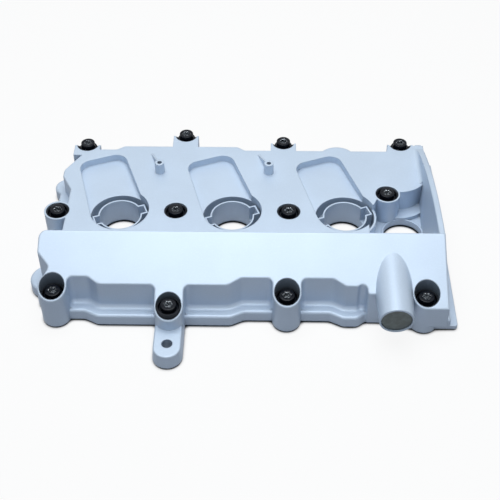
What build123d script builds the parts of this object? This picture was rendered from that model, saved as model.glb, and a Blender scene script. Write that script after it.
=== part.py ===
from build123d import *
import math
import os

# Engine valve cover for one bank of a V6.
# The sealing face is z = 0 and the axis of the middle plug well is the z axis.
# +X runs along the row of wells to the timing end, +Y to the rear edge.
# All lengths are in millimetres and all angles in degrees.

# Casting in general
wall = 4.0
deck_z = 27.0
flange_t = 9.5
fit_gap = 0.3
edge_r = 1.2
foot_r = 3.6

# Plug wells: a thin keyed collar standing in a round moat
well_count = 3
well_pitch = 90.0
well_bore_r = 16.3
collar_wall = 1.3
collar_z = 21.0
key_width = 8.0
key_reach = 20.4
key_angles = (21.0, 200.0)
moat_r = 23.5
moat_floor_z = 8.0
moat_wall = 3.5

# Pockets: corners seen from their well's axis, rear left then rear right
pocket_floor_z = 20.5
pocket_rear_left = (-40.0, 56.8)
pocket_rear_right = (-3.6, 71.0)
pocket_front_right = (16.9, 13.3)
pocket_front_left = (-23.0, -5.0)
pocket_corner_r = 10.0

# Bolts, their bosses and openings
boss_r = 10.7
opening_r = 9.3
seat_z = 12.0
bolt_hole_r = 5.9
front_bolts = ((-129.7, -90.3), (-43.6, -103.0), (42.7, -92.8), (144.7, -92.9))
deck_bolts = ((-139.2, -2.0), (-45.0, -1.0), (45.0, -1.0), (124.9, 21.1))
rear_bolts = ((-125.5, 82.0), (-42.1, 95.4), (41.4, 86.2), (140.9, 85.4))
rear_rim_slope = 45.0
rear_rim_lead = 1.5
bolt_head_z = 28.5
bolt_head_r = 5.8
bolt_head_h = 4.5
bolt_collar_r = 7.4
bolt_collar_t = 1.7
bolt_shank_r = 3.0
bolt_tip_z = -0.9
bolt_chamfer = 0.5
socket_depth = 3.0
socket_r = 2.9
socket_lobe_r = 0.75

# Rubber seal and steel sleeve in each opening
sleeve_r = 4.3
sleeve_bore_r = 3.3
sleeve_collar_r = 8.0
sleeve_collar_t = 1.4
sleeve_chamfer = 0.3
seal_foot_z = 3.0
seal_chamfer = 0.5

# Deck outline
deck_left_x = -141.0
deck_rear_y = 75.5
deck_step = 4.5
step_left_x = -97.0
step_right_x = 5.5
notch_x = -132.5
notch_end_y = 24.0
scoop_end_y = 40.0
corner_cut_x = -130.0
corner_cut_y = 66.5
rear_corner_y = 83.6
rear_corner_x = 130.0
rear_bump_x = 86.5
rear_bump_r = 16.0

# Beam along the front: its top falls from the rear edge to the front edge
beam_left_x = -142.5
beam_rear_y = -50.5
beam_rear_z = 53.0
beam_slope = 26.57
beam_skin = 4.5
front_y = -83.4
front_step = 5.2
run_left_x = -100.2
run_right_x = 4.1
rib_x = 90.2
rib_half = 4.3
block_left_x = 101.6
block_y = -93.8
block_foot_z = 7.0
beam_scoop_y = -76.7
beam_scoop_depth = 9.1
beam_scoop_half = 10.0
beam_corner_r = 6.0
neck_r = 4.0
run_r = 7.0
run_left_slant = 4.0
run_right_slant = 5.0
rib_slant = 9.0

# Arched end wall at the timing end
end_x = 160.4
end_wall_t = 4.6
end_mid = (10.0, 46.8)
end_tip = (89.5, 22.4)
end_toe = 2.4
end_blend_r = 3.5
lip_x = 170.0
lip_t = 3.4
lip_step = 4.2
lip_corner_r = 2.0
lip_rear_y = 86.0

# Recess beside the end wall, and the port through its floor
recess_floor_z = 4.5
recess_left_x = 108.0
recess_tip = (113.4, 8.0)
recess_back_left = (136.4, 23.4)
recess_back_mid = (147.5, 26.6)
recess_back_right_y = 34.0
recess_wall_r = 25.2
recess_wall_z = 21.0
ledge_z = 8.0
ledge_left_y = 16.0
ledge_mid = (142.6, 13.6)
ledge_right_y = 21.5
port = (137.4, -2.3)
port_r = 15.5
port_rim = 1.3
port_rim_z = 5.6

# Flange outline
flange_front = 9.6
flange_rear = 5.5
flange_left = 4.5
flange_right = 4.0
flange_corner_y = 91.5
lobe_rear = (-140.5, 47.0)
lobe_rear_r = 10.0
lobe_front = (-140.0, -59.0)
lobe_front_r = 14.0
flange_edge_r = 2.0

# Mounting ear
ear_x = -43.9
ear_hole_y = -126.0
ear_hole_r = 4.0
ear_tip_y = -139.8
ear_half = 11.0
ear_t = 11.5
ear_draft = 5.0

# Posts on the deck, seen from the well to their left
post_from_well = (29.0, 46.5)
post_r = 4.0
post_h = 10.0
post_hole_r = 1.85
post_hole_depth = 8.0
gusset_run = (-8.7, 23.5)
gusset_t = 1.8
gusset_drop = 1.0

# Breather stub
stub_x = 120.8
stub_end_y = -117.6
stub_end_z = 28.5
stub_tilt = 2.6
stub_end_r = 12.7
stub_draft = 2.3
stub_length = 66.0
stub_bore_r = 11.2
stub_step = 1.2
plug_recess = 1.0
plug_t = 3.0

# Gasket and ring seals
gasket_drop = 1.5
gasket_depth = 2.0
gasket_w = 3.5
gasket_inset = 2.0
gasket_round_bolt = 8.6
gasket_corner_r = 2.5
gasket_shoulder = 0.6
land_w = 1.6
land_t = 5.0
ring_depth = 2.0
ring_drop = 1.3
ring_wall = 1.6
ring_w = 2.6
ring_lip = 0.4

# Ribs under the deck, through the two middle bolt columns
deck_rib_t = 3.0
deck_rib_drop = 6.0

# Values that follow from the sizes above
well_xs = [well_pitch * (i - (well_count - 1) / 2) for i in range(well_count)]
beam_fall = math.tan(math.radians(beam_slope))
front_out_y = front_y - front_step
face_y = front_bolts[3][1] - boss_r
lip_front_y = face_y + lip_step
front_run_1 = (
    (front_bolts[0][0] + boss_r, front_y, neck_r),
    (run_left_x - run_left_slant, front_y, run_r),
    (run_left_x + run_left_slant, front_out_y, run_r),
    (front_bolts[1][0] - boss_r, front_out_y, neck_r),
)
front_run_2 = (
    (front_bolts[1][0] + boss_r, front_out_y, neck_r),
    (run_right_x - run_right_slant, front_out_y, run_r),
    (run_right_x + run_right_slant, front_y, run_r),
    (front_bolts[2][0] - boss_r, front_y, neck_r),
)
front_run_3 = (
    (front_bolts[2][0] + boss_r, front_y, neck_r),
    (rib_x - rib_half - rib_slant, front_y, run_r),
    (rib_x - rib_half, front_out_y, 4),
    (rib_x + rib_half, front_out_y, 2),
    (block_left_x, front_y - 1, 3.8),
)
end_inner_x = end_x - end_wall_t
deck_skin_z = deck_z - wall
pocket_skin_z = pocket_floor_z - wall
rear_out_y = deck_rear_y + deck_step
all_bolts = front_bolts + deck_bolts + rear_bolts
edge_bolts = front_bolts + rear_bolts + deck_bolts[:1]
high = beam_rear_z + 40.0
cut_reach = high - deck_z
post_xs = [x + post_from_well[0] for x in well_xs[:2]]
ring_places = [(x, 0, well_bore_r) for x in well_xs] + [(*port, port_r)]
seal_top_z = bolt_head_z - bolt_head_h - bolt_collar_t - sleeve_collar_t


def beam_top(y):
    """Height of the beam's sloping top at a given y."""
    return beam_rear_z - (beam_rear_y - y) * beam_fall


def outline(corners):
    """Closed face through corners given as (x, y, corner radius)."""
    with BuildSketch() as face:
        with BuildLine():
            FilletPolyline([(x, y) for x, y, r in corners], radius=[r for x, y, r in corners], close=True)
        make_face()
    return face.sketch


def deck_corners():
    """Outer outline of the deck and the walls below it."""
    return [
        (notch_x, beam_rear_y - 2 * wall, 0),
        (notch_x, notch_end_y, 6),
        (deck_left_x, scoop_end_y, 3),
        (deck_left_x, 48.0, 8),
        (corner_cut_x, corner_cut_y, 8),
        (rear_bolts[0][0], deck_rear_y, 4),
        (step_left_x - 3, deck_rear_y, 5),
        (step_left_x + 3, rear_out_y, 5),
        (step_right_x - 3, rear_out_y, 5),
        (step_right_x + 3, deck_rear_y, 5),
        (rear_corner_x - 1, deck_rear_y, 2),
        (rear_corner_x, rear_corner_y, 2),
        (end_x, rear_corner_y, 0),
        (end_x, beam_rear_y - 2 * wall, 0),
    ]


def beam_corners():
    """Outer outline of the beam, with the necks that carry the front bosses."""
    f1, f2, f3, f4 = front_bolts
    return [
        (beam_left_x, beam_rear_y, beam_corner_r),
        (beam_left_x, beam_scoop_y + beam_scoop_half, 2),
        (beam_left_x + beam_scoop_depth, beam_scoop_y, 3),
        (f1[0] - boss_r * 0.8, f1[1] + boss_r * 0.45, 0),
        (f1[0], f1[1], 0),
        (f1[0] + boss_r, f1[1], 0),
        *front_run_1,
        (f2[0] - boss_r, f2[1], 0),
        (f2[0] + boss_r, f2[1], 0),
        *front_run_2,
        (f3[0] - boss_r, f3[1], 0),
        (f3[0] + boss_r, f3[1], 0),
        *front_run_3,
        (block_left_x, block_y, 2),
        (f4[0] - boss_r / 2, block_y, 0),
        (f4[0], face_y, 0),
        (end_x, face_y, 0),
        (end_x, beam_rear_y, 0),
    ]


def flange_corners():
    """Outline of the flange at the sealing face, without the bolt bosses."""
    front = front_y - flange_front
    front_out = front_out_y - flange_front
    left = deck_left_x - flange_left
    rear = deck_rear_y + flange_rear
    rear_out = rear_out_y + flange_rear
    right = end_x + flange_right
    return [
        (left, front + 14, 4),
        (left, corner_cut_y - 14, 9),
        (corner_cut_x - flange_left, corner_cut_y + 4, 9),
        (rear_bolts[0][0] - 3, rear, 5),
        (step_left_x - 6, rear, 6),
        (step_left_x, rear_out, 6),
        (step_right_x, rear_out, 6),
        (step_right_x + 6, rear, 6),
        (rear_corner_x - 8, rear, 6),
        (rear_corner_x - 2, flange_corner_y, 6),
        (right, flange_corner_y, 4),
        (right, lip_front_y, 2),
        (front_bolts[3][0] - boss_r, lip_front_y, 3),
        (block_left_x + 8, front, 6),
        (block_left_x, front, 5),
        (rib_x + rib_half + 1, front_out, 6),
        (rib_x - rib_half - 1, front_out, 6),
        (rib_x - rib_half - 11, front, 6),
        (run_right_x + 7, front, 7),
        (run_right_x - 3, front_out, 7),
        (run_left_x + 2, front_out, 7),
        (run_left_x - 8, front, 7),
        (front_bolts[0][0], front, 4),
    ]


def sharp(corners):
    """The same corners without their rounding, for outlines that are offset."""
    return [(x, y, 0) for x, y, r in corners]


def pocket_corners(x):
    """Outline of the pocket behind the well whose axis is at x."""
    return [
        (x + pocket_rear_left[0], pocket_rear_left[1], pocket_corner_r),
        (x + pocket_rear_right[0], pocket_rear_right[1], pocket_corner_r),
        (x + pocket_front_right[0], pocket_front_right[1], 0),
        (x + pocket_front_left[0], pocket_front_left[1], 0),
    ]


def keyed_circle(r, width, reach):
    """Round outline with a key slot at each key angle."""
    with BuildSketch() as face:
        Circle(r)
        for angle in key_angles:
            with Locations(Rot(0, 0, angle)):
                Rectangle(reach, width, align=(Align.MIN, Align.CENTER))
    return face.sketch


# Beam block: front outline raised to full height, then cut to the sloping top
with BuildPart() as beam_block:
    with BuildSketch():
        add(outline(beam_corners()))
        with Locations(*front_bolts):
            Circle(boss_r)
    extrude(amount=beam_rear_z)
    with BuildSketch(Plane.YZ.offset(beam_left_x - cut_reach)):
        with BuildLine():
            cut_y = beam_rear_y - cut_reach
            Polyline(
                (beam_rear_y, beam_rear_z),
                (cut_y, beam_top(cut_y)),
                (cut_y, high),
                (beam_rear_y, high),
                close=True,
            )
        make_face()
    extrude(amount=lip_x - beam_left_x + 2 * cut_reach, mode=Mode.SUBTRACT)
    top_face = beam_block.faces().filter_by(lambda f: f.normal_at().Z > 0.5).sort_by(SortBy.AREA)[-1]
    fillet(top_face.edges(), edge_r)
    with BuildSketch(Plane.XY):
        with Locations((front_bolts[3][0], face_y)):
            Rectangle(lip_x - front_bolts[3][0], lip_step, align=Align.MIN)
        with Locations(front_bolts[3]):
            Circle(boss_r, mode=Mode.SUBTRACT)
    extrude(amount=block_foot_z, mode=Mode.SUBTRACT)

# Deck block: walls and deck behind the beam
with BuildPart() as deck_block:
    with BuildSketch():
        add(outline(deck_corners()))
    extrude(amount=deck_z)
    deck_top = deck_block.faces().sort_by(Axis.Z)[-1]
    fillet(deck_top.edges().filter_by(lambda e: e.center().Y > beam_rear_y), edge_r)
    with Locations((rear_bump_x, rear_out_y - rear_bump_r, 0)):
        Cylinder(rear_bump_r, deck_z, align=(Align.CENTER, Align.CENTER, Align.MIN))
    with Locations((deck_bolts[0][0], deck_bolts[0][1], 0)):
        Cylinder(boss_r, deck_z, align=(Align.CENTER, Align.CENTER, Align.MIN))

# Rear bosses: each on a neck from the rear wall, the rim sloping down to the back
with BuildPart() as rear_bosses:
    with BuildSketch():
        for x, y in rear_bolts:
            with Locations((x, y)):
                Circle(boss_r)
                Rectangle(2 * boss_r, y - deck_rear_y + 2 * wall, align=(Align.CENTER, Align.MAX))
    extrude(amount=deck_z)
    for x, y in rear_bolts:
        with BuildSketch(Plane.YZ.offset(x - boss_r - 1)):
            with BuildLine():
                near_y = y - rear_rim_lead
                far_y = y + 2 * boss_r
                drop = math.tan(math.radians(rear_rim_slope)) * (far_y - near_y)
                far_z = deck_z - drop
                Polyline((near_y, deck_z), (far_y, far_z), (far_y, high), (near_y, high), close=True)
            make_face()
        extrude(amount=2 * boss_r + 2, mode=Mode.SUBTRACT)


def arch_face():
    """Side view of the end wall, from inside the beam to its tip at the rear."""
    with BuildSketch() as face:
        with BuildLine():
            Line((beam_rear_y - 2 * wall, 0), (beam_rear_y - 2 * wall, beam_rear_z - 2 * wall))
            Line((beam_rear_y - 2 * wall, beam_rear_z - 2 * wall), (beam_rear_y, beam_rear_z - edge_r))
            ThreePointArc((beam_rear_y, beam_rear_z - edge_r), end_mid, end_tip)
            Line(end_tip, (end_tip[0], 0))
            Line((end_tip[0], 0), (beam_rear_y - 2 * wall, 0))
        make_face()
    return face.sketch


# Arched end wall
with BuildPart() as end_wall:
    with BuildSketch(Plane.YZ.offset(end_inner_x)):
        add(arch_face())
    extrude(amount=end_wall_t)
    arch = end_wall.faces().filter_by(GeomType.CYLINDER).sort_by(SortBy.AREA)[-1]
    fillet(arch.edges().filter_by(lambda e: e.length > 50), edge_r)

# Its inner side leans, and a rounded corner joins it to the deck
with BuildPart() as end_lean:
    with BuildSketch(Plane(origin=(0, beam_rear_y, 0), x_dir=(1, 0, 0), z_dir=(0, -1, 0))):
        with BuildLine():
            Polyline(
                (end_inner_x - end_toe, 0),
                (end_inner_x, end_mid[1]),
                (end_inner_x + edge_r, end_mid[1]),
                (end_inner_x + edge_r, 0),
                close=True,
            )
        make_face()
    extrude(amount=beam_rear_y - end_tip[0])
    with BuildSketch(Plane(origin=(0, recess_back_right_y, 0), x_dir=(1, 0, 0), z_dir=(0, -1, 0))):
        with BuildLine():
            toe_x = end_inner_x - end_toe * (1 - deck_z / end_mid[1])
            blend_x = end_inner_x - end_toe * (1 - (deck_z + end_blend_r) / end_mid[1])
            bulge = end_blend_r * (1 - math.sin(math.radians(45)))
            Polyline(
                (blend_x, deck_z + end_blend_r),
                (end_inner_x, deck_z + end_blend_r),
                (end_inner_x, deck_z - edge_r),
                (toe_x - end_blend_r, deck_z - edge_r),
                (toe_x - end_blend_r, deck_z),
            )
            ThreePointArc(
                (toe_x - end_blend_r, deck_z),
                (toe_x - bulge, deck_z + bulge),
                (blend_x, deck_z + end_blend_r),
            )
        make_face()
    extrude(amount=recess_back_right_y - end_tip[0])
    with BuildSketch(Plane.YZ.offset(end_inner_x - wall - end_blend_r)):
        add(arch_face())
    extrude(amount=end_wall_t + wall + end_blend_r, mode=Mode.INTERSECT)

# Mounting ear, drafted from the sealing face up
with BuildPart() as ear:
    with BuildSketch():
        with Locations((ear_x, ear_tip_y + ear_half)):
            Circle(ear_half)
            Rectangle(2 * ear_half, front_out_y - ear_tip_y - ear_half, align=(Align.CENTER, Align.MIN))
    extrude(amount=ear_t, taper=ear_draft)
    fillet(ear.faces().sort_by(Axis.Z)[-1].edges(), edge_r)

# Breather stub: a drafted cone, tilted a little down to its mouth
stub_plane = Plane(
    origin=(stub_x, stub_end_y, stub_end_z),
    x_dir=(1, 0, 0),
    z_dir=(0, math.cos(math.radians(stub_tilt)), math.sin(math.radians(stub_tilt))),
)
with BuildPart() as stub:
    with BuildSketch(stub_plane):
        Circle(stub_end_r)
    extrude(amount=stub_length, taper=-stub_draft)
    fillet(stub.edges().sort_by(Axis.Y)[0], 0.6)

# Posts with their gussets
with BuildPart() as posts:
    with BuildSketch(Plane.XY.offset(deck_z - 1)):
        with Locations(*[(x, post_from_well[1]) for x in post_xs]):
            Circle(post_r)
    extrude(amount=post_h + 1, taper=1)
    run = math.hypot(*gusset_run)
    for x in post_xs:
        gusset_plane = Plane(
            origin=(x, post_from_well[1], deck_z - 1),
            x_dir=(gusset_run[0] / run, gusset_run[1] / run, 0),
            z_dir=(gusset_run[1] / run, -gusset_run[0] / run, 0),
        )
        with BuildSketch(gusset_plane):
            with BuildLine():
                Polyline((0, 0), (run + 2, 0), (0, post_h + 1 - gusset_drop), close=True)
            make_face()
        extrude(amount=gusset_t / 2, both=True)

# Flange with its two lobes, the outer edge rounded
with BuildPart() as flange:
    with BuildSketch():
        add(outline(flange_corners()))
        with Locations(lobe_rear):
            Circle(lobe_rear_r)
        with Locations(lobe_front):
            Circle(lobe_front_r)
    extrude(amount=flange_t)
    fillet(flange.faces().sort_by(Axis.Z)[-1].edges(), flange_edge_r)


def foot_blend(run):
    """Rounded inner corner between the flange and a run of the front wall."""
    points = [(x, y) for x, y, r in run]
    reach = flange_front - flange_edge_r
    start = (points[0][0], points[0][1] - reach)
    end = (points[-1][0], points[-1][1] - reach)
    with BuildPart() as blend:
        with BuildLine(Plane.XY.offset(flange_t)) as path:
            FilletPolyline([start, *points, end], radius=[r for x, y, r in run])
        along = path.line % 0
        with BuildSketch(Plane(origin=path.line @ 0, x_dir=(along.Y, -along.X, 0), z_dir=-along)):
            with BuildLine():
                Polyline((foot_r, 0), (foot_r, -edge_r), (-edge_r, -edge_r), (-edge_r, foot_r), (0, foot_r))
                RadiusArc((0, foot_r), (foot_r, 0), -foot_r)
            make_face()
        sweep(path=path.line)
    return blend.part


# Everything solid, before it is hollowed
with BuildPart() as body:
    add(beam_block.part)
    add(deck_block.part)
    add(rear_bosses.part)
    add(end_wall.part)
    add(flange.part)
    with BuildSketch():
        with Locations(((end_inner_x + lip_x) / 2, (lip_front_y + lip_rear_y) / 2)):
            RectangleRounded(lip_x - end_inner_x, lip_rear_y - lip_front_y, lip_corner_r)
    extrude(amount=lip_t)
    for front_run in (front_run_1, front_run_2, front_run_3):
        add(foot_blend(front_run))
    add(ear.part)
    add(stub.part)

# Outline of the recess, without the boss and the moat wall that stand in it
with BuildSketch() as recess_outline:
    with BuildLine():
        boss_x, boss_y = deck_bolts[3]
        Polyline(
            (end_inner_x, recess_back_right_y),
            (end_inner_x, beam_rear_y),
            (recess_left_x, beam_rear_y),
            (recess_left_x, recess_tip[1]),
            recess_tip,
            (boss_x - boss_r * 0.7, boss_y - boss_r * 0.4),
            recess_back_left,
        )
        ThreePointArc(recess_back_left, recess_back_mid, (end_inner_x, recess_back_right_y))
    make_face()

# Columns that stay inside the hollow: well cups, bolt columns, pocket and recess floors
with BuildPart() as columns:
    with BuildSketch():
        with Locations(*[(x, 0) for x in well_xs]):
            Circle(moat_r + moat_wall)
        with Locations(*all_bolts):
            Circle(boss_r)
    extrude(amount=high)
    with BuildSketch():
        with Locations(*edge_bolts):
            Circle(gasket_round_bolt + gasket_w + land_w)
    extrude(amount=land_t)
    with BuildSketch():
        add(recess_outline.sketch)
        offset(amount=wall)
    extrude(amount=deck_z)
    for x in well_xs:
        with BuildSketch(Plane.XY.offset(pocket_skin_z)):
            add(outline(sharp(pocket_corners(x))))
            offset(amount=wall, kind=Kind.INTERSECTION)
        extrude(amount=deck_z - pocket_skin_z)
    for x, y in deck_bolts[1:3]:
        with BuildSketch(Plane.XY.offset(deck_skin_z - deck_rib_drop)):
            with Locations((x, (beam_rear_y + deck_rear_y) / 2)):
                Rectangle(deck_rib_t, deck_rear_y - beam_rear_y)
        extrude(amount=deck_rib_drop + 1)

# Hollow: cam space under the beam, open to the space under the deck
with BuildPart() as hollow:
    with BuildSketch():
        add(outline(sharp(deck_corners())))
        offset(amount=-wall, kind=Kind.INTERSECTION)
    extrude(amount=deck_skin_z)
    add(columns.part, mode=Mode.SUBTRACT)
    beam_inner_x = beam_left_x + beam_scoop_depth + wall
    with BuildSketch(Plane.YZ.offset(beam_inner_x)):
        with BuildLine():
            rear_in = beam_rear_y - wall
            front_in = front_y + wall
            Polyline(
                (rear_in, 0),
                (rear_in, beam_top(rear_in) - beam_skin),
                (front_in, beam_top(front_in) - beam_skin),
                (front_in, 0),
                close=True,
            )
        make_face()
    extrude(amount=end_inner_x - wall - beam_inner_x)
    with BuildSketch():
        with Locations(*edge_bolts):
            Circle(gasket_round_bolt + gasket_w + land_w)
    extrude(amount=land_t, mode=Mode.SUBTRACT)
    with BuildSketch():
        with Locations(*all_bolts):
            Circle(boss_r)
    extrude(amount=high, mode=Mode.SUBTRACT)


def gasket_band(clearance):
    """The gasket's track: along the flange's edge and round the inside of its bolts."""
    with BuildSketch() as track:
        for side, inset in ((Mode.ADD, -clearance), (Mode.SUBTRACT, gasket_w + clearance)):
            with BuildSketch(mode=Mode.PRIVATE) as region:
                add(outline(sharp(flange_corners())))
                offset(amount=-gasket_inset - inset, kind=Kind.INTERSECTION)
                fillet(region.vertices(), gasket_corner_r)
                with Locations(*edge_bolts):
                    Circle(gasket_round_bolt + inset, mode=Mode.SUBTRACT)
            add(region.sketch, mode=side)
    return track.sketch


def ring_track(bore_r, clearance):
    """The track of a ring seal's tongue round an opening."""
    with BuildSketch() as track:
        Circle(bore_r + ring_wall + ring_w + clearance)
        Circle(bore_r + ring_wall - clearance, mode=Mode.SUBTRACT)
    return track.sketch


with BuildPart() as seal_groove:
    with BuildSketch():
        add(gasket_band(fit_gap))
    extrude(amount=gasket_depth)

# The casting: hollowed, with its pockets, recess, wells, bolt openings and seal grooves
with BuildPart() as casting:
    add(body.part)
    add(hollow.part, mode=Mode.SUBTRACT)
    for x in well_xs:
        with BuildSketch(Plane.XY.offset(pocket_floor_z)):
            add(outline(pocket_corners(x)))
        extrude(amount=high, mode=Mode.SUBTRACT)
        with BuildSketch(Plane.XY.offset(moat_floor_z)):
            with Locations((x, 0)):
                Circle(moat_r)
        extrude(amount=high, mode=Mode.SUBTRACT)
    with BuildSketch(Plane.XY.offset(recess_wall_z)):
        add(recess_outline.sketch)
        with Locations(deck_bolts[3]):
            Circle(boss_r, mode=Mode.SUBTRACT)
    extrude(amount=deck_z - recess_wall_z, mode=Mode.SUBTRACT)
    with BuildSketch(Plane.XY.offset(recess_floor_z)):
        add(recess_outline.sketch)
        with Locations(deck_bolts[3]):
            Circle(boss_r, mode=Mode.SUBTRACT)
        with Locations((well_xs[-1], 0)):
            Circle(recess_wall_r, mode=Mode.SUBTRACT)
    extrude(amount=recess_wall_z - recess_floor_z, mode=Mode.SUBTRACT)
    with BuildSketch(Plane.XY.offset(recess_floor_z)):
        with BuildLine():
            ledge_left = (deck_bolts[3][0], ledge_left_y)
            ledge_right = (end_inner_x, ledge_right_y)
            ledge_rear_y = recess_back_right_y + edge_r
            ThreePointArc(ledge_left, ledge_mid, ledge_right)
            Polyline(ledge_right, (end_inner_x, ledge_rear_y), (ledge_left[0], ledge_rear_y), ledge_left)
        make_face()
    extrude(amount=ledge_z - recess_floor_z)
    add(end_lean.part)
    with BuildSketch():
        with Locations(port):
            Circle(port_r + port_rim)
    extrude(amount=port_rim_z)
    with BuildSketch():
        with Locations(port):
            Circle(port_r)
    extrude(amount=port_rim_z, mode=Mode.SUBTRACT)
    for x in well_xs:
        with BuildSketch(Plane.XY.offset(moat_floor_z)):
            with Locations((x, 0)):
                collar_r = well_bore_r + collar_wall
                add(keyed_circle(collar_r, key_width + 2 * collar_wall, key_reach + collar_wall))
        extrude(amount=collar_z - moat_floor_z)
        with BuildSketch(Plane.XY.offset(moat_floor_z)):
            with Locations((x, 0)):
                add(keyed_circle(well_bore_r, key_width, key_reach))
        extrude(amount=collar_z - moat_floor_z, mode=Mode.SUBTRACT)
        with BuildSketch():
            with Locations((x, 0)):
                Circle(well_bore_r)
        extrude(amount=moat_floor_z, mode=Mode.SUBTRACT)
    for x, y, r in ring_places:
        with BuildSketch():
            with Locations((x, y)):
                add(ring_track(r, fit_gap))
        extrude(amount=ring_depth, mode=Mode.SUBTRACT)
    with BuildSketch():
        with Locations(*all_bolts):
            Circle(bolt_hole_r)
    extrude(amount=seat_z, mode=Mode.SUBTRACT)
    with BuildSketch(Plane.XY.offset(seat_z)):
        with Locations(*all_bolts):
            Circle(opening_r)
    extrude(amount=high, mode=Mode.SUBTRACT)
    with BuildSketch():
        with Locations((ear_x, ear_hole_y)):
            Circle(ear_hole_r)
    extrude(amount=ear_t, mode=Mode.SUBTRACT)
    add(posts.part)
    with BuildSketch(Plane.XY.offset(deck_z + post_h - post_hole_depth)):
        with Locations(*[(x, post_from_well[1]) for x in post_xs]):
            Circle(post_hole_r)
    extrude(amount=post_hole_depth, mode=Mode.SUBTRACT)
    with BuildSketch(stub_plane):
        Circle(stub_bore_r)
    extrude(amount=plug_recess + plug_t, mode=Mode.SUBTRACT)
    with BuildSketch(stub_plane):
        Circle(stub_bore_r - stub_step)
    extrude(amount=stub_length - stub_bore_r, mode=Mode.SUBTRACT)
    add(seal_groove.part, mode=Mode.SUBTRACT)

# Perimeter gasket: its back bears on the roof of the groove and a narrower bead stands proud
with BuildPart() as gasket:
    with BuildSketch():
        add(gasket_band(0))
    extrude(amount=gasket_depth)
    with BuildSketch(Plane.XY.offset(-gasket_drop)):
        add(gasket_band(-gasket_shoulder))
    extrude(amount=gasket_drop)


def ring_seal(x, y, r):
    """Rubber ring under an opening: a flat foot with a thin lip and a tongue in its groove."""
    with BuildPart() as ring:
        with BuildSketch(Plane.XY.offset(-ring_drop)):
            with Locations((x, y)):
                Circle(r + ring_wall + ring_w + ring_lip)
                Circle(r - ring_lip, mode=Mode.SUBTRACT)
        extrude(amount=ring_drop)
        chamfer(ring.edges().group_by(Axis.Z)[0], ring_lip)
        with BuildSketch():
            with Locations((x, y)):
                add(ring_track(r, 0))
        extrude(amount=ring_depth)
    return ring


def bolt_seal(x, y):
    """Rubber bush that fills a bolt opening, with a neck through the casting."""
    with BuildPart() as seal:
        with BuildSketch(Plane.XY.offset(seat_z)):
            with Locations((x, y)):
                Circle(opening_r - fit_gap)
        extrude(amount=seal_top_z - seat_z)
        with BuildSketch(Plane.XY.offset(seal_foot_z)):
            with Locations((x, y)):
                Circle(bolt_hole_r - fit_gap)
        extrude(amount=seat_z - seal_foot_z)
        rims = seal.edges().filter_by(GeomType.CIRCLE)
        chamfer([rims.sort_by(Axis.Z)[0], rims.sort_by(Axis.Z)[-1]], seal_chamfer)
        with BuildSketch(Plane.XY.offset(seal_foot_z)):
            with Locations((x, y)):
                Circle(sleeve_r + fit_gap)
        extrude(amount=seal_top_z - seal_foot_z, mode=Mode.SUBTRACT)
    return seal


def bolt_sleeve(x, y):
    """Steel distance sleeve with a collar that rests on the rubber."""
    with BuildPart() as sleeve:
        with BuildSketch():
            with Locations((x, y)):
                Circle(sleeve_r)
        extrude(amount=seal_top_z)
        with BuildSketch(Plane.XY.offset(seal_top_z)):
            with Locations((x, y)):
                Circle(sleeve_collar_r)
        extrude(amount=sleeve_collar_t)
        chamfer(sleeve.edges().group_by(Axis.Z)[-1], sleeve_chamfer)
        with BuildSketch():
            with Locations((x, y)):
                Circle(sleeve_bore_r)
        extrude(amount=seal_top_z + sleeve_collar_t, mode=Mode.SUBTRACT)
    return sleeve


# One captive bolt: shank, collar and round head with a six-lobed socket
with BuildPart() as bolt:
    with BuildSketch(Plane.XY.offset(bolt_tip_z)):
        Circle(bolt_shank_r)
    extrude(amount=seal_top_z + sleeve_collar_t - bolt_tip_z)
    chamfer(bolt.edges().group_by(Axis.Z)[0], bolt_chamfer)
    with BuildSketch(Plane.XY.offset(seal_top_z + sleeve_collar_t)):
        Circle(bolt_collar_r)
    extrude(amount=bolt_collar_t)
    with BuildSketch(Plane.XY.offset(bolt_head_z - bolt_head_h)):
        Circle(bolt_head_r)
    extrude(amount=bolt_head_h)
    chamfer(bolt.edges().group_by(Axis.Z)[-1], bolt_chamfer)
    with BuildSketch(Plane.XY.offset(bolt_head_z - socket_depth)):
        Circle(socket_r - socket_lobe_r)
        with PolarLocations(socket_r - socket_lobe_r, 6):
            Circle(socket_lobe_r)
    extrude(amount=socket_depth, mode=Mode.SUBTRACT)

# The twelve bolts stand at their places
with BuildPart() as bolts:
    with Locations(*[(x, y, 0) for x, y in all_bolts]):
        add(bolt.part)

# Disc pressed into the mouth of the breather stub, against the step of its bore
plug_plane = stub_plane.offset(plug_recess)
with BuildPart() as plug:
    with BuildSketch(plug_plane):
        Circle(stub_bore_r - fit_gap)
    extrude(amount=plug_t)

os.makedirs("parts", exist_ok=True)


def write(piece, name):
    """Label a finished piece and write it to its own file."""
    piece.part.label = name
    export_step(piece.part, f"parts/{name}.step")


write(casting, "cover_casting")
write(gasket, "perimeter_gasket")
write(bolts, "cover_bolts")
write(plug, "stub_plug")
write(ring_seal(*ring_places[-1]), "port_seal")
for i, place in enumerate(ring_places[:-1], start=1):
    write(ring_seal(*place), f"plug_well_seal_{i}")
for i, (x, y) in enumerate(all_bolts, start=1):
    write(bolt_seal(x, y), f"bolt_seal_{i}")
    write(bolt_sleeve(x, y), f"bolt_sleeve_{i}")
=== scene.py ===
import math

import bpy
from mathutils import Matrix, Vector


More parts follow.
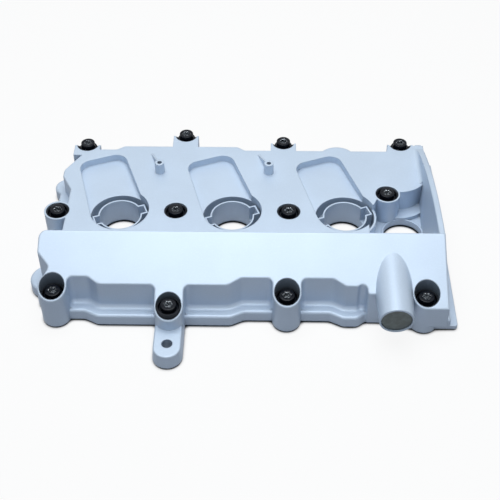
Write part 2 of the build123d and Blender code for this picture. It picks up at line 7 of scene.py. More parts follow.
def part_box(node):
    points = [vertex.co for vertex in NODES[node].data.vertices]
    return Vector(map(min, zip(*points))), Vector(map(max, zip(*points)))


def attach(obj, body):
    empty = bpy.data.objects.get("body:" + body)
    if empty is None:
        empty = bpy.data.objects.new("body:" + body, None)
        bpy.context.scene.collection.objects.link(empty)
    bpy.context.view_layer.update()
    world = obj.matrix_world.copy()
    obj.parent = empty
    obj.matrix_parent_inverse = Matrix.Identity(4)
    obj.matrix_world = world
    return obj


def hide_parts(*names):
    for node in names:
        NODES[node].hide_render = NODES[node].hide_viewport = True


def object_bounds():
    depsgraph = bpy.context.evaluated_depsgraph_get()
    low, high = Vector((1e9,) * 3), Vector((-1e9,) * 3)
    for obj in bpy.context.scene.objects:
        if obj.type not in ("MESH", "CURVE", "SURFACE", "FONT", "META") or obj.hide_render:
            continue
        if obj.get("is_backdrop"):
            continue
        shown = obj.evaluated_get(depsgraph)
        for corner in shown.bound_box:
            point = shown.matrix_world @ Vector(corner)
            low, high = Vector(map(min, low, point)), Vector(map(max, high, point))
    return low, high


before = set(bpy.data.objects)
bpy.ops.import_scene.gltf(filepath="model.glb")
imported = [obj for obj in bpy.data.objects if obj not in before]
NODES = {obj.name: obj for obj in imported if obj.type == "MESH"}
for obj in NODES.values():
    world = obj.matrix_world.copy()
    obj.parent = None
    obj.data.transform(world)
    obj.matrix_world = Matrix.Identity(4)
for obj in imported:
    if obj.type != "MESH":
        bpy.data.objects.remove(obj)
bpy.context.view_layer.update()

bl_info = {
    "name": "Engine valve cover",
    "version": (1, 0, 0),
    "blender": (4, 5, 0),
    "location": "View3D > Sidebar > Valve Cover",
    "description": "Dresses the packed cast valve cover with its finishes, bolts and stage",
    "category": "Object",
}

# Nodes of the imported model
WELL_NODES = [f"plug_well_seal_{i}" for i in range(1, 4)]
SLEEVE_NODES = [f"bolt_sleeve_{i}" for i in range(1, 13)]
BOLT_SEAL_NODES = [f"bolt_seal_{i}" for i in range(1, 13)]

# The front row of bolts lies before the first line and the rear row behind the second, in metres
FRONT_Y = -0.08
REAR_Y = 0.08

# Turned pieces: steps round the axis, the socket's lobes and its rows in the outline, a height above
# every rim and the merging distance in metres, and the angle in degrees past which an edge stays crisp
BOLT_TURNS = 60
BUSH_TURNS = 48
LOBES = 6
LOBE_DEPTH = 0.13
SOCKET_MARK = "socket"
SOCKET_ROWS = 4
NO_LIMIT = 1.0
MERGE_DISTANCE = 0.000002
CRISP_ANGLE = 38

# Painted shade on the casting: darker deep corners, and painted shade down the walls of the deep front
# openings, in metres and shares
CORNER_SHADE_DISTANCE = 0.02
PAINTED_SHADE_FACTOR = 0.66
# Painted shade down the walls of the deep front openings: its colour, reach round each bolt, heights and
# strength
OPENING_SHADE_COLOR = (0.03, 0.04, 0.05, 1.0)
OPENING_SHADE_RADIUS = 0.0097
OPENING_SHADE_BOTTOM = 0.028
OPENING_SHADE_TOP = 0.054
OPENING_SHADE_AMOUNT = 0.62

# Stage: sizes and places in metres, power in watts
FLOOR_SIZE = 6
CONTACT_DISTANCE = 0.004
FLOOR_BOUNCE = (0.10, 0.122, 0.17, 1.0)
# Painted contact shadow: the floor's colour close round the object's foot
FLOOR_CONTACT_SHADE = (0.04, 0.05, 0.07, 1.0)
FLOOR_LIT = (0.95, 0.95, 0.95, 1.0)
WHITE = (1.0, 1.0, 1.0, 1.0)
ROOM_COLOR = (0.76, 0.90, 1.0, 1.0)
KEY_COLOR = (0.877, 0.92, 0.948)
FILL_COLOR = (0.60, 0.74, 1.0)
KEY_PLACE = (-0.03, 0.05, 1.1)
GLINT_PLACE = (0.05, -0.35, 1.0)
FILL_PLACE = (0.0, -1.3, 0.45)
SOFT_SIZE = 0.8
GLINT_SIZE = 0.05
GLINT_POWER = 0.3

# Camera: focal length in photo pixels, place in metres, turns in degrees
PHOTO_PIXELS = 500
FOCAL_PIXELS = 1026.5
SENSOR_WIDTH = 36.0
CAMERA_PLACE = (0.024674, -0.602986, 0.580408)
CAMERA_HEADING = 1.007
CAMERA_DIP = 44.76
CAMERA_ROLL = -0.187


# Node maths, for shader and geometry trees alike


class Value:
    """A node socket that takes part in Python expressions."""

    def __init__(self, graph, socket):
        self.graph = graph
        self.socket = socket

    def _math(self, operation, *values):
        return self.graph.node("ShaderNodeMath", {"operation": operation}, dict(enumerate(values)))

    def __add__(self, other):
        return self._math("ADD", self, other)

    __radd__ = __add__

    def __sub__(self, other):
        return self._math("SUBTRACT", self, other)

    def __rsub__(self, other):
        return self._math("SUBTRACT", other, self)

    def __mul__(self, other):
        return self._math("MULTIPLY", self, other)

    __rmul__ = __mul__

    def __floordiv__(self, other):
        return self._math("FLOOR", self._math("DIVIDE", self, other))

    def __lt__(self, other):
        return self._math("LESS_THAN", self, other)

    def __gt__(self, other):
        return self._math("GREATER_THAN", self, other)

    def sine(self):
        return self._math("SINE", self)

    def cosine(self):
        return self._math("COSINE", self)

    def larger(self, other):
        return self._math("MAXIMUM", self, other)

    def smaller(self, other):
        return self._math("MINIMUM", self, other)

    def step(self, low, high):
        """0 below low, 1 above high and smooth between them."""
        return self.graph.node(
            "ShaderNodeMapRange",
            {"interpolation_type": "SMOOTHSTEP"},
            {"Value": self, "From Min": low, "From Max": high},
        )


class Graph:
    """A node tree, with one method that adds any node to it."""

    def __init__(self, tree):
        self.tree = tree
        self.tree.nodes.clear()

    def node(self, kind, settings, inputs, output=0):
        """Adds a node, sets it up, joins its inputs and returns one of its outputs."""
        made = self.tree.nodes.new(kind)
        for key, value in settings.items():
            setattr(made, key, value)
        for key, value in inputs.items():
            self.join(made.inputs[key], value)
        return Value(self, made.outputs[output])

    def join(self, socket, value):
        """Links a node's value to a socket, or sets the socket to a plain one."""
        if isinstance(value, Value):
            self.tree.links.new(value.socket, socket)
        else:
            socket.default_value = value


class Finish(Graph):
    """A material with one Principled shader."""

    def __init__(self, name, roughness, metallic=0.0, gloss=0.5):
        self.material = bpy.data.materials.new(name)
        self.material.use_nodes = True
        super().__init__(self.material.node_tree)
        self.output = self.tree.nodes.new("ShaderNodeOutputMaterial")
        self.shader = self.tree.nodes.new("ShaderNodeBsdfPrincipled")
        self.shader.inputs["Roughness"].default_value = roughness
        self.shader.inputs["Metallic"].default_value = metallic
        self.shader.inputs["Specular IOR Level"].default_value = gloss
        self.tree.links.new(self.shader.outputs[0], self.output.inputs["Surface"])
        self.place = self.node("ShaderNodeTexCoord", {}, {}, "Object")

    def noise(self, scale, detail=2.0):
        """Noise of so many waves a metre."""
        inputs = {"Vector": self.place, "Scale": scale, "Detail": detail}
        return self.node("ShaderNodeTexNoise", {}, inputs, "Fac")

    def mix(self, factor, first, second):
        """A mix of two colours."""
        return self.node("ShaderNodeMix", {"data_type": "RGBA"}, {0: factor, 6: first, 7: second}, 2)

    def bump(self, height, distance, normal=None):
        """A normal bent by a height in metres."""
        inputs = {"Height": height, "Distance": distance, "Strength": 1.0}
        if normal is not None:
            inputs["Normal"] = normal
        return self.node("ShaderNodeBump", {}, inputs)

    def round_edges(self, radius):
        """A normal that rounds the piece's sharp edges."""
        return self.node("ShaderNodeBevel", {"samples": 6}, {"Radius": radius})

    def openness(self, distance, samples):
        """1 on an open surface and less where others stand near it."""
        return self.node("ShaderNodeAmbientOcclusion", {"samples": samples}, {"Distance": distance}, "AO")

    def place_part(self, axis):
        """One coordinate of the point on the piece, in metres."""
        return self.node("ShaderNodeSeparateXYZ", {}, {"Vector": self.place}, axis)

    def set(self, **inputs):
        """Joins values to the shader's sockets and returns the material."""
        for socket, value in inputs.items():
            self.join(self.shader.inputs[socket.replace("_", " ")], value)
        return self.material


def rgb(red, green, blue):
    """An opaque colour."""
    return (red, green, blue, 1.0)


def dress_node(name, material):
    """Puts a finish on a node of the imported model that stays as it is."""
    for slot in NODES[name].material_slots:
        slot.material = material


def plain_mesh(obj):
    """The mesh that an object's modifiers give."""
    evaluated = obj.evaluated_get(bpy.context.evaluated_depsgraph_get())
    mesh = bpy.data.meshes.new_from_object(evaluated)
    if not mesh.polygons:
        raise RuntimeError(f"{obj.name} gave an empty mesh")
    return mesh


def linked(name, data):
    """A new object in the scene."""
    obj = bpy.data.objects.new(name, data)
    bpy.context.scene.collection.objects.link(obj)
    return obj


def bolt_axis(node):
    """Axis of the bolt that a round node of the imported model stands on."""
    low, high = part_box(node)
    return (low[0] + high[0]) / 2, (low[1] + high[1]) / 2, 0


# Sizes and colours that a user would change


def color_setting(name, description, default):
    """A colour that a user may change."""
    return bpy.props.FloatVectorProperty(
        name=name, description=description, default=default, subtype="COLOR", size=3, min=0, max=1
    )


def share_setting(name, description, default):
    """A setting from 0 to 1."""
    return bpy.props.FloatProperty(name=name, description=description, default=default, min=0, max=1)


def length_setting(name, description, default):
    """A length in metres."""
    return bpy.props.FloatProperty(
        name=name, description=description, default=default, min=0, unit="LENGTH", precision=5
    )


class CastingSettings(bpy.types.PropertyGroup):
    color: color_setting("Alloy colour", "Colour of the cast alloy", (0.635, 0.735, 0.865))
    metallic: share_setting("Metallic", "How far the casting shines like bare metal", 0.25)
    roughness: share_setting("Roughness", "Roughness of the blasted skin", 0.48)
    gloss: share_setting("Gloss", "Strength of the skin's own reflections", 0.05)
    grain: length_setting("Grain depth", "Depth of the grain that the mould leaves", 0.00006)
    edge: length_setting("Edge radius", "Softness of the cast edges", 0.0011)


class BoltSettings(bpy.types.PropertyGroup):
    color: color_setting("Coating colour", "Colour of the black coating", (0.006, 0.008, 0.013))
    head_radius: length_setting("Head radius", "Radius of the bolt head", 0.0058)
    collar_radius: length_setting("Collar radius", "Radius of the collar under the head", 0.0074)
    collar_height: length_setting("Collar height", "Height of the collar", 0.0017)
    shank_radius: length_setting("Shank radius", "Radius of the shank", 0.003)
    socket_radius: length_setting("Socket radius", "Radius over the lobes of the socket", 0.003)
    socket_depth: length_setting("Socket depth", "Depth of the socket", 0.003)
    rounding: length_setting("Rounding", "Softness of the turned corners", 0.0004)


class BushSettings(bpy.types.PropertyGroup):
    seat: length_setting("Seat", "Height of the casting's seat above the sealing face", 0.012)
    bore_radius: length_setting("Bore radius", "Radius of the bore round the sleeve", 0.0046)
    neck_radius: length_setting("Neck radius", "Radius of the neck through the casting", 0.0056)
    skirt: length_setting("Skirt", "Thickness of the skirt up the opening's wall", 0.0008)
    skirt_height: length_setting("Skirt height", "Height of the skirt above the bush", 0.0052)
    rounding: length_setting("Rounding", "Softness of the moulded corners", 0.0004)
    rear_slope: bpy.props.FloatProperty(
        name="Rear slope",
        description="Slope of the rims of the rear bosses",
        default=math.radians(45),
        min=0,
        max=math.radians(60),
        subtype="ANGLE",
    )
    rear_lead: length_setting("Rear lead", "How far before the bolt's axis the slope begins", 0.0015)


class RubberSettings(bpy.types.PropertyGroup):
    color: color_setting("Rubber colour", "Colour of the seals and the gasket", (0.007, 0.009, 0.014))
    roughness: share_setting("Roughness", "Roughness of the rubber", 0.55)


class PlugSettings(bpy.types.PropertyGroup):
    color: color_setting("Plug colour", "Colour of the passivated plug in the stub", (0.095, 0.115, 0.115))


class StageSettings(bpy.types.PropertyGroup):
    key: bpy.props.FloatProperty(
        name="Key light", description="Power of the soft light overhead", default=10.3, min=0
    )
    fill: bpy.props.FloatProperty(
        name="Fill light", description="Power of the front fill", default=0.82, min=0
    )
    world: bpy.props.FloatProperty(
        name="Room light", description="Strength of the room light", default=0.10, min=0
    )
    shadow: share_setting("Shadow", "How much of the object's shadow the white floor shows", 0.10)


SETTINGS = {
    "cover_casting_settings": CastingSettings,
    "cover_bolt_settings": BoltSettings,
    "cover_bush_settings": BushSettings,
    "cover_rubber_settings": RubberSettings,
    "cover_plug_settings": PlugSettings,
    "cover_stage_settings": StageSettings,
}


# Finishes


def cast_alloy(settings):
    """Blasted light alloy: faint clouds and speckle, fine grain, soft edges, and painted shade that darkens
    the deep corners.
    """
    finish = Finish("cast_alloy", settings.roughness, settings.metallic, settings.gloss)
    base = rgb(*settings.color)
    dark = rgb(*(c * 0.96 for c in settings.color))
    pale = rgb(*(min(1.0, c * 1.06) for c in settings.color))
    # The colour of the painted shade in deep corners
    deep = rgb(*(c * PAINTED_SHADE_FACTOR for c in settings.color))
    clouds = finish.noise(scale=28.0, detail=3.0)
    speckle = finish.noise(scale=900.0)
    grain = finish.noise(scale=1500.0, detail=3.0)
    pits = finish.noise(scale=420.0)
    color = finish.mix(clouds.step(0.35, 0.7), dark, base)
    color = finish.mix(speckle.step(0.45, 0.75) * 0.35, color, pale)
    # Painted shade: the colour darkens where other surfaces stand near, in deep corners and recesses
    closed = 1 - finish.openness(CORNER_SHADE_DISTANCE, samples=8)
    color = finish.mix(closed.step(0.35, 0.95), color, deep)
    # Painted shade: near-black colour down the walls of the deep front openings
    color = finish.mix(painted_opening_shade(finish) * OPENING_SHADE_AMOUNT, color, OPENING_SHADE_COLOR)
    height = grain * 0.6 + pits * 0.4
    normal = finish.bump(height, settings.grain, finish.round_edges(settings.edge))
    rough = settings.roughness - 0.05 + clouds * 0.03 + speckle * 0.08
    return finish.set(Base_Color=color, Roughness=rough, Normal=normal)


def painted_opening_shade(finish):
    """Mask of painted shade down the walls of the deep front openings, strongest low down."""
    across, along, up = (finish.place_part(axis) for axis in "XYZ")
    nearest = NO_LIMIT
    for x, y, _ in map(bolt_axis, SLEEVE_NODES):
        if y < FRONT_Y:
            off_x, off_y = across - x, along - y
            nearest = (off_x * off_x + off_y * off_y).smaller(nearest)
    return (nearest < OPENING_SHADE_RADIUS**2) * (1 - up.step(OPENING_SHADE_BOTTOM, OPENING_SHADE_TOP))


def rubber(settings):
    """Moulded black rubber with a faint bloom."""
    finish = Finish("seal_rubber", settings.roughness, gloss=0.25)
    bloom = finish.noise(scale=160.0, detail=3.0)
    fine = finish.noise(scale=2200.0)
    base = rgb(*settings.color)
    pale = rgb(*(c * 1.8 + 0.002 for c in settings.color))
    color = finish.mix(bloom.step(0.45, 0.8) * 0.6, base, pale)
    normal = finish.bump(fine, distance=0.00003, normal=finish.round_edges(0.0003))
    return finish.set(Base_Color=color, Roughness=settings.roughness - 0.08 + bloom * 0.16, Normal=normal)


def black_coating(settings):
    """Black coated steel, a little glossy, with worn patches and bright sockets."""
    finish = Finish("bolt_black", roughness=0.24, gloss=0.14)
    wear = finish.noise(scale=900.0, detail=4.0)
    fine = finish.noise(scale=3000.0)
    base = rgb(*settings.color)
    worn = rgb(*(c * 2.0 + 0.006 for c in settings.color))
    color = finish.mix(wear.step(0.55, 0.8) * 0.5, base, worn)
    socket = finish.node("ShaderNodeAttribute", {"attribute_name": SOCKET_MARK}, {}, "Fac")
    bare = socket * finish.noise(scale=1300.0).step(0.45, 0.62)
    color = finish.mix(bare * 0.9, color, rgb(0.62, 0.66, 0.70))
    normal = finish.bump(fine, distance=0.00001)
    return finish.set(Base_Color=color, Metallic=bare * 0.7, Roughness=0.16 + wear * 0.16, Normal=normal)


def phosphated_steel():
    """Dark grey phosphated steel of the distance sleeves."""
    finish = Finish("sleeve_steel", roughness=0.42, metallic=0.7)
    grain = finish.noise(scale=1400.0, detail=3.0)
    color = finish.mix(grain.step(0.3, 0.75), rgb(0.035, 0.036, 0.04), rgb(0.075, 0.077, 0.083))
    normal = finish.bump(grain, distance=0.00001, normal=finish.round_edges(0.0002))
    return finish.set(Base_Color=color, Roughness=0.34 + grain * 0.16, Normal=normal)


def olive_steel(settings):
    """Olive passivated sheet of the stub's plug."""
    finish = Finish("plug_steel", roughness=0.5, metallic=0.35)
    haze = finish.noise(scale=260.0, detail=3.0)
    fine = finish.noise(scale=2400.0)
    base = rgb(*settings.color)
    pale = rgb(*(c * 1.5 for c in settings.color))
    color = finish.mix(haze.step(0.35, 0.75), base, pale)
    normal = finish.bump(fine, distance=0.00001, normal=finish.round_edges(0.0003))
    return finish.set(Base_Color=color, Roughness=0.42 + haze * 0.16, Normal=normal)


# Operators: one for each piece or group of like pieces


class OBJECT_OT_dress_casting(bpy.types.Operator):
    """Finish the one-piece casting"""

    bl_idname = "object.dress_cover_casting"
    bl_label = "Casting"

    def execute(self, context):
        dress_node("cover_casting", cast_alloy(context.scene.cover_casting_settings))
        return {"FINISHED"}


class OBJECT_OT_dress_rubber(bpy.types.Operator):
    """Finish the gasket and the ring seals"""

    bl_idname = "object.dress_cover_rubber"
    bl_label = "Rubber seals"

    def execute(self, context):
        finish = rubber(context.scene.cover_rubber_settings)
        for name in ["perimeter_gasket", "port_seal", *WELL_NODES]:
            dress_node(name, finish)
        return {"FINISHED"}


class OBJECT_OT_dress_sleeves(bpy.types.Operator):
    """Finish the steel distance sleeves"""

    bl_idname = "object.dress_cover_sleeves"
    bl_label = "Distance sleeves"

    def execute(self, context):
        finish = phosphated_steel()
        for name in SLEEVE_NODES:
            dress_node(name, finish)
        return {"FINISHED"}


# Outlines of the turned pieces: radius, height, depth of the lobes and the height that a sloping rim allows


def bolt_outline(size):
    """Outline of a bolt from its tip to the middle of its socket."""
    top, seat, tip = size["Top"], size["Seat"], size["Tip"]
    head, collar, shank = size["Head Radius"], size["Collar Radius"], size["Shank Radius"]
    socket, depth, soft = size["Socket Radius"], size["Socket Depth"], size["Rounding"]
    collar_top = seat + size["Collar Height"]
    points = [
        (0.0, tip, 0.0),
        (shank - soft, tip, 0.0),
        (shank, tip + soft, 0.0),
        (shank, seat, 0.0),
        (collar - soft, seat, 0.0),
        (collar, seat + soft, 0.0),
        (collar, collar_top - soft * 1.2, 0.0),
        (collar - soft * 0.4, collar_top - soft * 0.4, 0.0),
        (collar - soft * 1.2, collar_top, 0.0),
        (head + soft, collar_top, 0.0),
        (head, collar_top + soft, 0.0),
        (head, top - soft, 0.0),
        (head - soft * 0.3, top - soft * 0.3, 0.0),
        (head - soft, top, 0.0),
        (socket + soft * 1.4, top, 0.6),
        (socket, top - soft, 1.0),
        (socket, top - depth, 1.0),
        (socket * 0.8, top - depth, 1.0),
        (0.0, top - depth, 0.0),
    ]
    return [(*point, NO_LIMIT) for point in points]


def bush_outline(size):
    """Closed outline of a rubber bush: foot, neck, body and a thin skirt up the opening's wall."""
    foot, seat, top, rim = size["Foot"], size["Seat"], size["Top"], size["Rim"]
    bore, neck, body = size["Bore Radius"], size["Neck Radius"], size["Body Radius"]
    soft = size["Rounding"]
    inner = body - size["Skirt"]
    points = [
        (bore, foot, NO_LIMIT),
        (neck - soft, foot, NO_LIMIT),
        (neck, foot + soft, NO_LIMIT),
        (neck, seat, NO_LIMIT),
        (body - soft, seat, NO_LIMIT),
        (body, seat + soft, NO_LIMIT),
        (body, rim - soft, rim - soft),
        (body - soft, rim, rim),
        (inner - soft * 0.4, rim, rim),
        (inner - soft, rim - soft, rim - soft),
        (inner - soft * 0.6, rim - soft * 2.4, rim - soft * 2.4),
        (inner, rim - soft * 3.4, rim - soft * 3.4),
        (inner, top, rim - soft * 4.4),
        (inner - soft, top, NO_LIMIT),
        (bore, top, NO_LIMIT),
        (bore, foot, NO_LIMIT),
    ]
    return [(radius, height, 0.0, limit) for radius, height, limit in points]


def pick(graph, row, values):
    """The value that belongs to a row of the turned outline."""
    made = graph.tree.nodes.new("GeometryNodeIndexSwitch")
    made.data_type = "FLOAT"
    while len(made.index_switch_items) < len(values):
        made.index_switch_items.new()
    graph.join(made.inputs["Index"], row)
    for count, value in enumerate(values, start=1):
        graph.join(made.inputs[count], value)
    return Value(graph, made.outputs[0])


def turned_tree(name, size_names, outline_of, turns, marked_rows):
    """Geometry nodes that stand a turned piece on each vertex of a mesh."""
    tree = bpy.data.node_groups.new(name, "GeometryNodeTree")
    graph = Graph(tree)
    tree.interface.new_socket("Geometry", in_out="INPUT", socket_type="NodeSocketGeometry")
    for size_name in size_names:
        tree.interface.new_socket(size_name, in_out="INPUT", socket_type="NodeSocketFloat")
    tree.interface.new_socket("Finish", in_out="INPUT", socket_type="NodeSocketMaterial")
    tree.interface.new_socket("Geometry", in_out="OUTPUT", socket_type="NodeSocketGeometry")
    given = tree.nodes.new("NodeGroupInput")
    size = {size_name: Value(graph, given.outputs[size_name]) for size_name in size_names}
    outline = outline_of(size)
    columns = turns + 1

    # A grid with a row for each point of the outline, bent round the axis
    grid = graph.node("GeometryNodeMeshGrid", {}, {"Vertices X": len(outline), "Vertices Y": columns})
    index = graph.node("GeometryNodeInputIndex", {}, {})
    row = (index + 0.5) // columns
    angle = (index - row * columns) * (-2 * math.pi / turns)
    parts = [pick(graph, row, [point[part] for point in outline]) for part in range(4)]
    radius, height, lobe, limit = parts
    radius = radius * (1 - lobe * LOBE_DEPTH * (1 - (angle * LOBES).cosine()))
    behind = radius * angle.sine()
    fall = (behind - size["Fall Start"]).larger(0.0) * size["Fall"]
    height = height.smaller(limit - fall)
    place = graph.node("ShaderNodeCombineXYZ", {}, {0: radius * angle.cosine(), 1: behind, 2: height})
    turned = graph.node("GeometryNodeSetPosition", {}, {"Geometry": grid, "Position": place})

    # The socket's mark, closed seams and crisp corners
    marked = graph.node(
        "GeometryNodeStoreNamedAttribute",
        {"data_type": "FLOAT", "domain": "POINT"},
        {"Geometry": turned, "Name": SOCKET_MARK, "Value": row > len(outline) - marked_rows - 0.5},
    )
    closed = graph.node(
        "GeometryNodeMergeByDistance", {}, {"Geometry": marked, "Distance": MERGE_DISTANCE}
    )
    edge = graph.node("GeometryNodeInputMeshEdgeAngle", {}, {}, "Unsigned Angle")
    smooth = graph.node("GeometryNodeSetShadeSmooth", {"domain": "FACE"}, {"Geometry": closed})
    crisp = graph.node(
        "GeometryNodeSetShadeSmooth",
        {"domain": "EDGE"},
        {"Geometry": smooth, "Selection": edge > math.radians(CRISP_ANGLE), "Shade Smooth": False},
    )

    # One piece on each vertex
    points = Value(graph, given.outputs["Geometry"])
    placed = graph.node("GeometryNodeInstanceOnPoints", {}, {"Points": points, "Instance": crisp})
    real = graph.node("GeometryNodeRealizeInstances", {}, {"Geometry": placed})
    finish = Value(graph, given.outputs["Finish"])
    dressed = graph.node("GeometryNodeSetMaterial", {}, {"Geometry": real, "Material": finish})
    result = tree.nodes.new("NodeGroupOutput")
    graph.join(result.inputs["Geometry"], dressed)
    return tree


def turned_pieces(name, axes, sizes, outline_of, turns, marked_rows, finish):
    """One plain mesh with a turned piece at each of the axes."""
    seeds = bpy.data.meshes.new(f"{name}_seeds")
    seeds.from_pydata(axes, [], [])
    maker = linked(f"{name}_maker", seeds)
    modifier = maker.modifiers.new(name, "NODES")
    modifier.node_group = turned_tree(name, list(sizes), outline_of, turns, marked_rows)
    given = {**sizes, "Finish": finish}
    for socket in modifier.node_group.interface.items_tree:
        if socket.in_out == "INPUT" and socket.name in given:
            modifier[socket.identifier] = given[socket.name]
    pieces = linked(name, plain_mesh(maker))
    pieces.data.name = name
    bpy.data.objects.remove(maker)
    return pieces


class OBJECT_OT_dress_bolts(bpy.types.Operator):
    """Build the twelve captive bolts with their six-lobed sockets"""

    bl_idname = "object.dress_cover_bolts"
    bl_label = "Captive bolts"

    def execute(self, context):
        settings = context.scene.cover_bolt_settings
        low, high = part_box("cover_bolts")
        sizes = {
            "Top": high[2],
            "Seat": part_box(SLEEVE_NODES[0])[1][2],
            "Tip": low[2],
            "Head Radius": settings.head_radius,
            "Collar Radius": settings.collar_radius,
            "Collar Height": settings.collar_height,
            "Shank Radius": settings.shank_radius,
            "Socket Radius": settings.socket_radius,
            "Socket Depth": settings.socket_depth,
            "Rounding": settings.rounding,
            "Fall Start": 0.0,
            "Fall": 0.0,
        }
        axes = [bolt_axis(node) for node in SLEEVE_NODES]
        finish = black_coating(settings)
        bolts = turned_pieces(
            "captive_bolts", axes, sizes, bolt_outline, BOLT_TURNS, SOCKET_ROWS, finish
        )
        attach(bolts, "root")
        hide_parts("cover_bolts")
        return {"FINISHED"}


class OBJECT_OT_dress_bushes(bpy.types.Operator):
    """Build the rubber bushes that line the bolt openings"""

    bl_idname = "object.dress_cover_bushes"
    bl_label = "Rubber bushes"

    def execute(self, context):
        settings = context.scene.cover_bush_settings
        low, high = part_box(BOLT_SEAL_NODES[0])
        sizes = {
            "Foot": low[2],
            "Seat": settings.seat,
            "Top": high[2],
            "Rim": high[2] + settings.skirt_height,
            "Bore Radius": settings.bore_radius,
            "Neck Radius": settings.neck_radius,
            "Body Radius": (high[0] - low[0]) / 2,
            "Skirt": settings.skirt,
            "Rounding": settings.rounding,
            "Fall Start": -settings.rear_lead,
        }
        finish = rubber(context.scene.cover_rubber_settings)
        rear = [node for node in BOLT_SEAL_NODES if bolt_axis(node)[1] > REAR_Y]
        level = [node for node in BOLT_SEAL_NODES if node not in rear]
        for name, nodes, fall in (
            ("rubber_bushes", level, 0.0),
            ("rear_rubber_bushes", rear, math.tan(settings.rear_slope)),
        ):
            axes = [bolt_axis(node) for node in nodes]
            bushes = turned_pieces(
                name, axes, {**sizes, "Fall": fall}, bush_outline, BUSH_TURNS, 0, finish
            )
            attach(bushes, "root")
            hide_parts(*nodes)
        return {"FINISHED"}


class OBJECT_OT_dress_plug(bpy.types.Operator):
    """Finish the plug in the mouth of the breather stub"""

    bl_idname = "object.dress_cover_plug"
    bl_label = "Stub plug"

    def execute(self, context):
        dress_node("stub_plug", olive_steel(context.scene.cover_plug_settings))
        return {"FINISHED"}


# Stage, lamps and camera


def photo_camera():
    """The camera at the photograph's viewing angle."""
    data = bpy.data.cameras.new("photo_camera")
    data.sensor_width = SENSOR_WIDTH
    data.lens = FOCAL_PIXELS / PHOTO_PIXELS * SENSOR_WIDTH
    data.clip_start = 0.01
    data.clip_end = 20
    camera = linked("photo_camera", data)
    turn = (
        Matrix.Rotation(math.radians(CAMERA_HEADING), 4, "Z")
        @ Matrix.Rotation(math.radians(90 - CAMERA_DIP), 4, "X")
        @ Matrix.Rotation(math.radians(CAMERA_ROLL), 4, "Z")
    )
    camera.matrix_world = Matrix.Translation(CAMERA_PLACE) @ turn
    bpy.context.scene.camera = camera


def area_light(name, place, size, power, color):
    """A square soft light that looks at the middle of the cover."""
    data = bpy.data.lights.new(name, "AREA")
    data.size = size
    data.energy = power
    data.color = color
    light = linked(name, data)
    light.location = place
    light.rotation_euler = (-Vector(place)).to_track_quat("-Z", "Y").to_euler()


def seen_directly(graph):
    """1 for rays from the camera and those that metal or glass sends on, else 0."""
    path = graph.tree.nodes.new("ShaderNodeLightPath")
    camera, glossy, through = (
        Value(graph, path.outputs[f"Is {kind} Ray"]) for kind in ("Camera", "Glossy", "Transmission")
    )
    return camera.larger(glossy).larger(through)


def floor_material(shadow):
    """White where it is seen, with the object's shadow and a painted contact shadow close round its foot,
    and grey where it only lights the object.
    """
    finish = Finish("stage_white", roughness=1.0)
    seen = seen_directly(finish)
    # Painted contact shadow: near the object the floor's colour darkens and less of the white shows
    open_floor = finish.openness(CONTACT_DISTANCE, samples=16).step(0.35, 0.9)
    lit_color = finish.mix(open_floor, FLOOR_CONTACT_SHADE, FLOOR_LIT)
    finish.set(Base_Color=finish.mix(seen, FLOOR_BOUNCE, lit_color))
    white = finish.node("ShaderNodeEmission", {}, {"Color": WHITE, "Strength": 1.0})
    lit = Value(finish, finish.shader.outputs[0])
    share = seen * (1 - shadow) * open_floor
    surface = finish.node("ShaderNodeMixShader", {}, {0: share, 1: lit, 2: white})
    finish.join(finish.output.inputs["Surface"], surface)
    return finish.material


def room(strength):
    """A white room where it is seen, and a dimmer, cooler one where it only lights the object."""
    world = bpy.data.worlds.new("plain_room")
    world.use_nodes = True
    graph = Graph(world.node_tree)
    seen = seen_directly(graph)
    light = graph.node("ShaderNodeBackground", {}, {"Color": ROOM_COLOR, "Strength": strength})
    white = graph.node("ShaderNodeBackground", {}, {"Color": WHITE, "Strength": 1.0})
    surface = graph.node("ShaderNodeMixShader", {}, {0: seen, 1: light, 2: white})
    output = world.node_tree.nodes.new("ShaderNodeOutputWorld")
    graph.join(output.inputs["Surface"], surface)
    return world


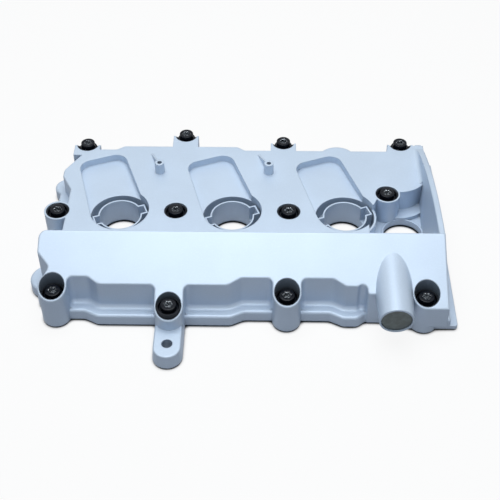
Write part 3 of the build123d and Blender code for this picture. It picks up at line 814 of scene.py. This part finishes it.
class SCENE_OT_dress_stage(bpy.types.Operator):
    """Set up the white stage, the soft lights and the camera"""

    bl_idname = "scene.dress_cover_stage"
    bl_label = "Stage"

    def execute(self, context):
        settings = context.scene.cover_stage_settings
        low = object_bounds()[0]
        bpy.ops.mesh.primitive_plane_add(size=FLOOR_SIZE, location=(0, 0, low[2]))
        floor = context.active_object
        floor.name = "stage_floor"
        floor.data.materials.append(floor_material(settings.shadow))
        floor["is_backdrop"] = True
        area_light("key_light", KEY_PLACE, SOFT_SIZE, settings.key, KEY_COLOR)
        area_light("glint_light", GLINT_PLACE, GLINT_SIZE, GLINT_POWER, KEY_COLOR)
        area_light("fill_light", FILL_PLACE, SOFT_SIZE, settings.fill, FILL_COLOR)
        context.scene.world = room(settings.world)
        context.scene.view_settings.view_transform = "Standard"
        photo_camera()
        return {"FINISHED"}


# Panel and registration


OPERATORS = (
    OBJECT_OT_dress_casting,
    OBJECT_OT_dress_rubber,
    OBJECT_OT_dress_sleeves,
    OBJECT_OT_dress_bolts,
    OBJECT_OT_dress_bushes,
    OBJECT_OT_dress_plug,
    SCENE_OT_dress_stage,
)


class VIEW3D_PT_valve_cover(bpy.types.Panel):
    bl_label = "Valve Cover"
    bl_idname = "VIEW3D_PT_valve_cover"
    bl_space_type = "VIEW_3D"
    bl_region_type = "UI"
    bl_category = "Valve Cover"

    def draw(self, context):
        for operator in OPERATORS:
            self.layout.operator(operator.bl_idname)
        for name, group in SETTINGS.items():
            box = self.layout.box()
            for prop in group.__annotations__:
                box.prop(getattr(context.scene, name), prop)


def register():
    for group in SETTINGS.values():
        bpy.utils.register_class(group)
    for name, group in SETTINGS.items():
        setattr(bpy.types.Scene, name, bpy.props.PointerProperty(type=group))
    for operator in OPERATORS:
        bpy.utils.register_class(operator)
    bpy.utils.register_class(VIEW3D_PT_valve_cover)


def unregister():
    bpy.utils.unregister_class(VIEW3D_PT_valve_cover)
    for operator in reversed(OPERATORS):
        bpy.utils.unregister_class(operator)
    for name in SETTINGS:
        delattr(bpy.types.Scene, name)
    for group in SETTINGS.values():
        bpy.utils.unregister_class(group)


def main():
    """Dresses the cover."""
    register()
    bpy.ops.object.dress_cover_casting()
    bpy.ops.object.dress_cover_rubber()
    bpy.ops.object.dress_cover_sleeves()
    bpy.ops.object.dress_cover_bolts()
    bpy.ops.object.dress_cover_bushes()
    bpy.ops.object.dress_cover_plug()
    bpy.ops.scene.dress_cover_stage()


if __name__ == "__main__":
    main()
